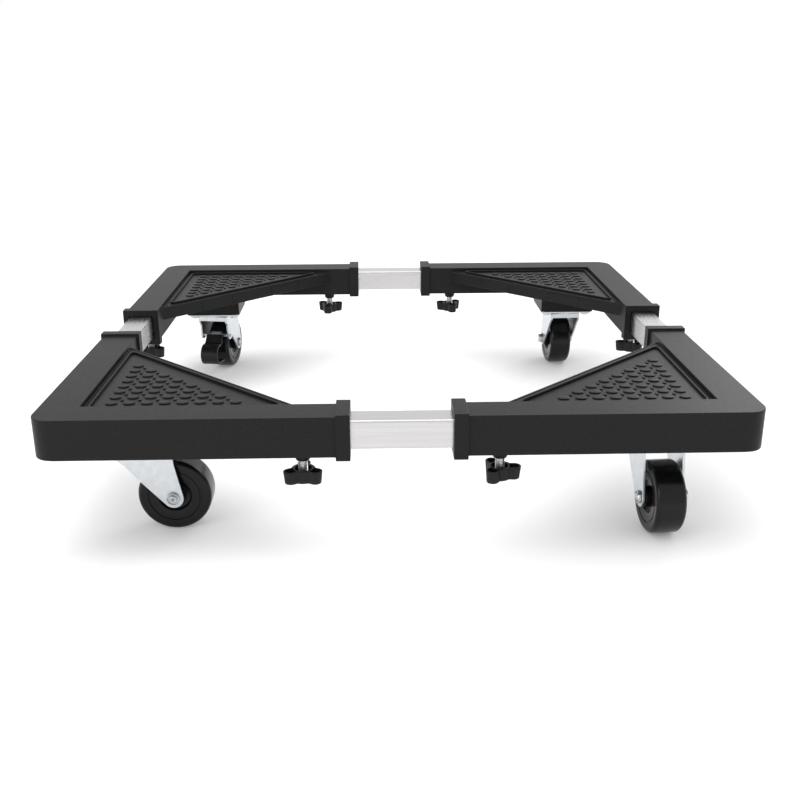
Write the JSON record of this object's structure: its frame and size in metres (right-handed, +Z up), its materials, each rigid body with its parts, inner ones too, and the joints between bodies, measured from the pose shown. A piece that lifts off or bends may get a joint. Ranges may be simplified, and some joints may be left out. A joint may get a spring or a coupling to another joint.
{
  "type": "wheel dolly",
  "caption": "Low square wheeled base: moulded corners slide on square tubes, lock with knobs underneath and roll on swivel casters.",
  "frame": {"origin": "on the floor, under the middle of the frame", "axes": "+Z up, +X to the right along the front side, +Y from the front side to the rear side"},
  "size_m": [0.605, 0.605, 0.1295],
  "materials": {
    "frame_plastic": "satin moulded",
    "tube_steel": "bright satin",
    "plated_steel": "bright zinc plated",
    "stud_steel": "plated thread",
    "ball_steel": "polished",
    "knob_plastic": "fine grained",
    "pedal_plastic": "fine grained",
    "wheel_plastic": "glossy"
  },
  "bodies": {
    "corner_front_left": {"corner_front_left": "frame_plastic", "lock_nuts_front_left": "plated_steel", "caster_plate_front_left": "plated_steel", "plate_screws_front_left": "plated_steel", "race_balls_front_left": "ball_steel", "kingpin_front_left": "plated_steel"},
    "corner_front_right": {"corner_front_right": "frame_plastic", "lock_nuts_front_right": "plated_steel", "caster_plate_front_right": "plated_steel", "plate_screws_front_right": "plated_steel", "race_balls_front_right": "ball_steel", "kingpin_front_right": "plated_steel"},
    "corner_rear_left": {"corner_rear_left": "frame_plastic", "lock_nuts_rear_left": "plated_steel", "caster_plate_rear_left": "plated_steel", "plate_screws_rear_left": "plated_steel", "race_balls_rear_left": "ball_steel", "kingpin_rear_left": "plated_steel"},
    "corner_rear_right": {"corner_rear_right": "frame_plastic", "lock_nuts_rear_right": "plated_steel", "caster_plate_rear_right": "plated_steel", "plate_screws_rear_right": "plated_steel", "race_balls_rear_right": "ball_steel", "kingpin_rear_right": "plated_steel"},
    "tube_front": {"tube_front": "tube_steel"},
    "tube_rear": {"tube_rear": "tube_steel"},
    "tube_left": {"tube_left": "tube_steel"},
    "tube_right": {"tube_right": "tube_steel"},
    "stud_x_front_left": {"stud_x_front_left": "stud_steel"},
    "knob_x_front_left": {"knob_x_front_left": "knob_plastic"},
    "stud_y_front_left": {"stud_y_front_left": "stud_steel"},
    "knob_y_front_left": {"knob_y_front_left": "knob_plastic"},
    "stud_x_front_right": {"stud_x_front_right": "stud_steel"},
    "knob_x_front_right": {"knob_x_front_right": "knob_plastic"},
    "stud_y_front_right": {"stud_y_front_right": "stud_steel"},
    "knob_y_front_right": {"knob_y_front_right": "knob_plastic"},
    "stud_x_rear_left": {"stud_x_rear_left": "stud_steel"},
    "knob_x_rear_left": {"knob_x_rear_left": "knob_plastic"},
    "stud_y_rear_left": {"stud_y_rear_left": "stud_steel"},
    "knob_y_rear_left": {"knob_y_rear_left": "knob_plastic"},
    "stud_x_rear_right": {"stud_x_rear_right": "stud_steel"},
    "knob_x_rear_right": {"knob_x_rear_right": "knob_plastic"},
    "stud_y_rear_right": {"stud_y_rear_right": "stud_steel"},
    "knob_y_rear_right": {"knob_y_rear_right": "knob_plastic"},
    "fork_front_left": {"fork_front_left": "plated_steel", "axle_front_left": "plated_steel"},
    "wheel_front_left": {"wheel_front_left": "wheel_plastic"},
    "fork_front_right": {"fork_front_right": "plated_steel", "axle_front_right": "plated_steel"},
    "wheel_front_right": {"wheel_front_right": "wheel_plastic"},
    "fork_rear_left": {"fork_rear_left": "plated_steel", "axle_rear_left": "plated_steel", "brake_pin": "plated_steel"},
    "wheel_rear_left": {"wheel_rear_left": "wheel_plastic"},
    "fork_rear_right": {"fork_rear_right": "plated_steel", "axle_rear_right": "plated_steel"},
    "wheel_rear_right": {"wheel_rear_right": "wheel_plastic"},
    "brake": {"brake_lever": "plated_steel", "brake_pedal": "pedal_plastic"}
  },
  "joints": [
    {"name": "width", "type": "slide", "parent": "corner_front_left", "child": "tube_front", "axis": [1, 0, 0], "range_m": [-0.0415, 0.053]},
    {"name": "width_front_right", "type": "slide", "parent": "tube_front", "child": "corner_front_right", "axis": [1, 0, 0], "range_m": [-0.0416, 0.0531]},
    {"name": "depth", "type": "slide", "parent": "corner_front_left", "child": "tube_left", "axis": [0, 1, 0], "range_m": [-0.0415, 0.053]},
    {"name": "depth_rear_left", "type": "slide", "parent": "tube_left", "child": "corner_rear_left", "axis": [0, 1, 0], "range_m": [-0.0416, 0.0531]},
    {"name": "width_rear", "type": "slide", "parent": "corner_rear_left", "child": "tube_rear", "axis": [1, 0, 0], "range_m": [-0.0416, 0.0531]},
    {"name": "depth_right", "type": "slide", "parent": "corner_front_right", "child": "tube_right", "axis": [0, 1, 0], "range_m": [-0.0416, 0.0531]},
    {"name": "depth_rear_right", "type": "slide", "parent": "tube_right", "child": "corner_rear_right", "axis": [0, 1, 0], "range_m": [-0.0416, 0.0531]},
    {"name": "knob_x_front_left_back_off", "type": "slide", "parent": "corner_front_left", "child": "stud_x_front_left", "axis": [0, 0, -1], "range_m": [0, 0.00219]},
    {"name": "knob_x_front_left_turn", "type": "hinge", "parent": "stud_x_front_left", "child": "knob_x_front_left", "pos_m": [-0.082, -0.283, 0.071], "axis": [0, 0, -1], "range_deg": [0, 632]},
    {"name": "knob_y_front_left_back_off", "type": "slide", "parent": "corner_front_left", "child": "stud_y_front_left", "axis": [0, 0, -1], "range_m": [0, 0.00219]},
    {"name": "knob_y_front_left_turn", "type": "hinge", "parent": "stud_y_front_left", "child": "knob_y_front_left", "pos_m": [-0.283, -0.082, 0.071], "axis": [0, 0, -1], "range_deg": [0, 632]},
    {"name": "knob_x_front_right_back_off", "type": "slide", "parent": "corner_front_right", "child": "stud_x_front_right", "axis": [0, 0, -1], "range_m": [0, 0.00219]},
    {"name": "knob_x_front_right_turn", "type": "hinge", "parent": "stud_x_front_right", "child": "knob_x_front_right", "pos_m": [0.082, -0.283, 0.071], "axis": [0, 0, -1], "range_deg": [0, 632]},
    {"name": "knob_y_front_right_back_off", "type": "slide", "parent": "corner_front_right", "child": "stud_y_front_right", "axis": [0, 0, -1], "range_m": [0, 0.00219]},
    {"name": "knob_y_front_right_turn", "type": "hinge", "parent": "stud_y_front_right", "child": "knob_y_front_right", "pos_m": [0.283, -0.082, 0.071], "axis": [0, 0, -1], "range_deg": [0, 632]},
    {"name": "knob_x_rear_left_back_off", "type": "slide", "parent": "corner_rear_left", "child": "stud_x_rear_left", "axis": [0, 0, -1], "range_m": [0, 0.00219]},
    {"name": "knob_x_rear_left_turn", "type": "hinge", "parent": "stud_x_rear_left", "child": "knob_x_rear_left", "pos_m": [-0.082, 0.283, 0.071], "axis": [0, 0, -1], "range_deg": [0, 632]},
    {"name": "knob_y_rear_left_back_off", "type": "slide", "parent": "corner_rear_left", "child": "stud_y_rear_left", "axis": [0, 0, -1], "range_m": [0, 0.00219]},
    {"name": "knob_y_rear_left_turn", "type": "hinge", "parent": "stud_y_rear_left", "child": "knob_y_rear_left", "pos_m": [-0.283, 0.082, 0.071], "axis": [0, 0, -1], "range_deg": [0, 632]},
    {"name": "knob_x_rear_right_back_off", "type": "slide", "parent": "corner_rear_right", "child": "stud_x_rear_right", "axis": [0, 0, -1], "range_m": [0, 0.00219]},
    {"name": "knob_x_rear_right_turn", "type": "hinge", "parent": "stud_x_rear_right", "child": "knob_x_rear_right", "pos_m": [0.082, 0.283, 0.071], "axis": [0, 0, -1], "range_deg": [0, 632]},
    {"name": "knob_y_rear_right_back_off", "type": "slide", "parent": "corner_rear_right", "child": "stud_y_rear_right", "axis": [0, 0, -1], "range_m": [0, 0.00219]},
    {"name": "knob_y_rear_right_turn", "type": "hinge", "parent": "stud_y_rear_right", "child": "knob_y_rear_right", "pos_m": [0.283, 0.082, 0.071], "axis": [0, 0, -1], "range_deg": [0, 632]},
    {"name": "swivel_front_left", "type": "hinge", "parent": "corner_front_left", "child": "fork_front_left", "pos_m": [-0.227, -0.227, 0.08], "axis": [0, 0, 1], "continuous": true},
    {"name": "roll_front_left", "type": "hinge", "parent": "fork_front_left", "child": "wheel_front_left", "pos_m": [-0.2, -0.227, 0.0325], "axis": [0, 1, 0], "continuous": true},
    {"name": "swivel_front_right", "type": "hinge", "parent": "corner_front_right", "child": "fork_front_right", "pos_m": [0.227, -0.227, 0.08], "axis": [0, 0, 1], "continuous": true},
    {"name": "roll_front_right", "type": "hinge", "parent": "fork_front_right", "child": "wheel_front_right", "pos_m": [0.22888, -0.25393, 0.0325], "axis": [0.9976, 0.0698, 0], "continuous": true},
    {"name": "swivel_rear_left", "type": "hinge", "parent": "corner_rear_left", "child": "fork_rear_left", "pos_m": [-0.227, 0.227, 0.08], "axis": [0, 0, 1], "continuous": true},
    {"name": "roll_rear_left", "type": "hinge", "parent": "fork_rear_left", "child": "wheel_rear_left", "pos_m": [-0.22231, 0.25359, 0.0325], "axis": [-0.9848, 0.1736, 0], "continuous": true},
    {"name": "brake_press", "type": "hinge", "parent": "fork_rear_left", "child": "brake", "pos_m": [-0.22856, 0.21814, 0.051], "axis": [0.9848, -0.1736, 0], "range_deg": [0, 9.5]},
    {"name": "swivel_rear_right", "type": "hinge", "parent": "corner_rear_right", "child": "fork_rear_right", "pos_m": [0.227, 0.227, 0.08], "axis": [0, 0, 1], "continuous": true},
    {"name": "roll_rear_right", "type": "hinge", "parent": "fork_rear_right", "child": "wheel_rear_right", "pos_m": [0.22559, 0.25396, 0.0325], "axis": [-0.9986, -0.0523, 0], "continuous": true}
  ],
  "couplings": [
    {"joint": "width_front_right", "follows": "width", "ratio": 1},
    {"joint": "depth_rear_left", "follows": "depth", "ratio": 1},
    {"joint": "width_rear", "follows": "width", "ratio": 1},
    {"joint": "depth_right", "follows": "depth", "ratio": 1},
    {"joint": "depth_rear_right", "follows": "depth", "ratio": 1},
    {"joint": "knob_x_front_left_turn", "follows": "knob_x_front_left_back_off", "rad_per_m": 5026.5},
    {"joint": "knob_y_front_left_turn", "follows": "knob_y_front_left_back_off", "rad_per_m": 5026.5},
    {"joint": "knob_x_front_right_turn", "follows": "knob_x_front_right_back_off", "rad_per_m": 5026.5},
    {"joint": "knob_y_front_right_turn", "follows": "knob_y_front_right_back_off", "rad_per_m": 5026.5},
    {"joint": "knob_x_rear_left_turn", "follows": "knob_x_rear_left_back_off", "rad_per_m": 5026.5},
    {"joint": "knob_y_rear_left_turn", "follows": "knob_y_rear_left_back_off", "rad_per_m": 5026.5},
    {"joint": "knob_x_rear_right_turn", "follows": "knob_x_rear_right_back_off", "rad_per_m": 5026.5},
    {"joint": "knob_y_rear_right_turn", "follows": "knob_y_rear_right_back_off", "rad_per_m": 5026.5}
  ]
}
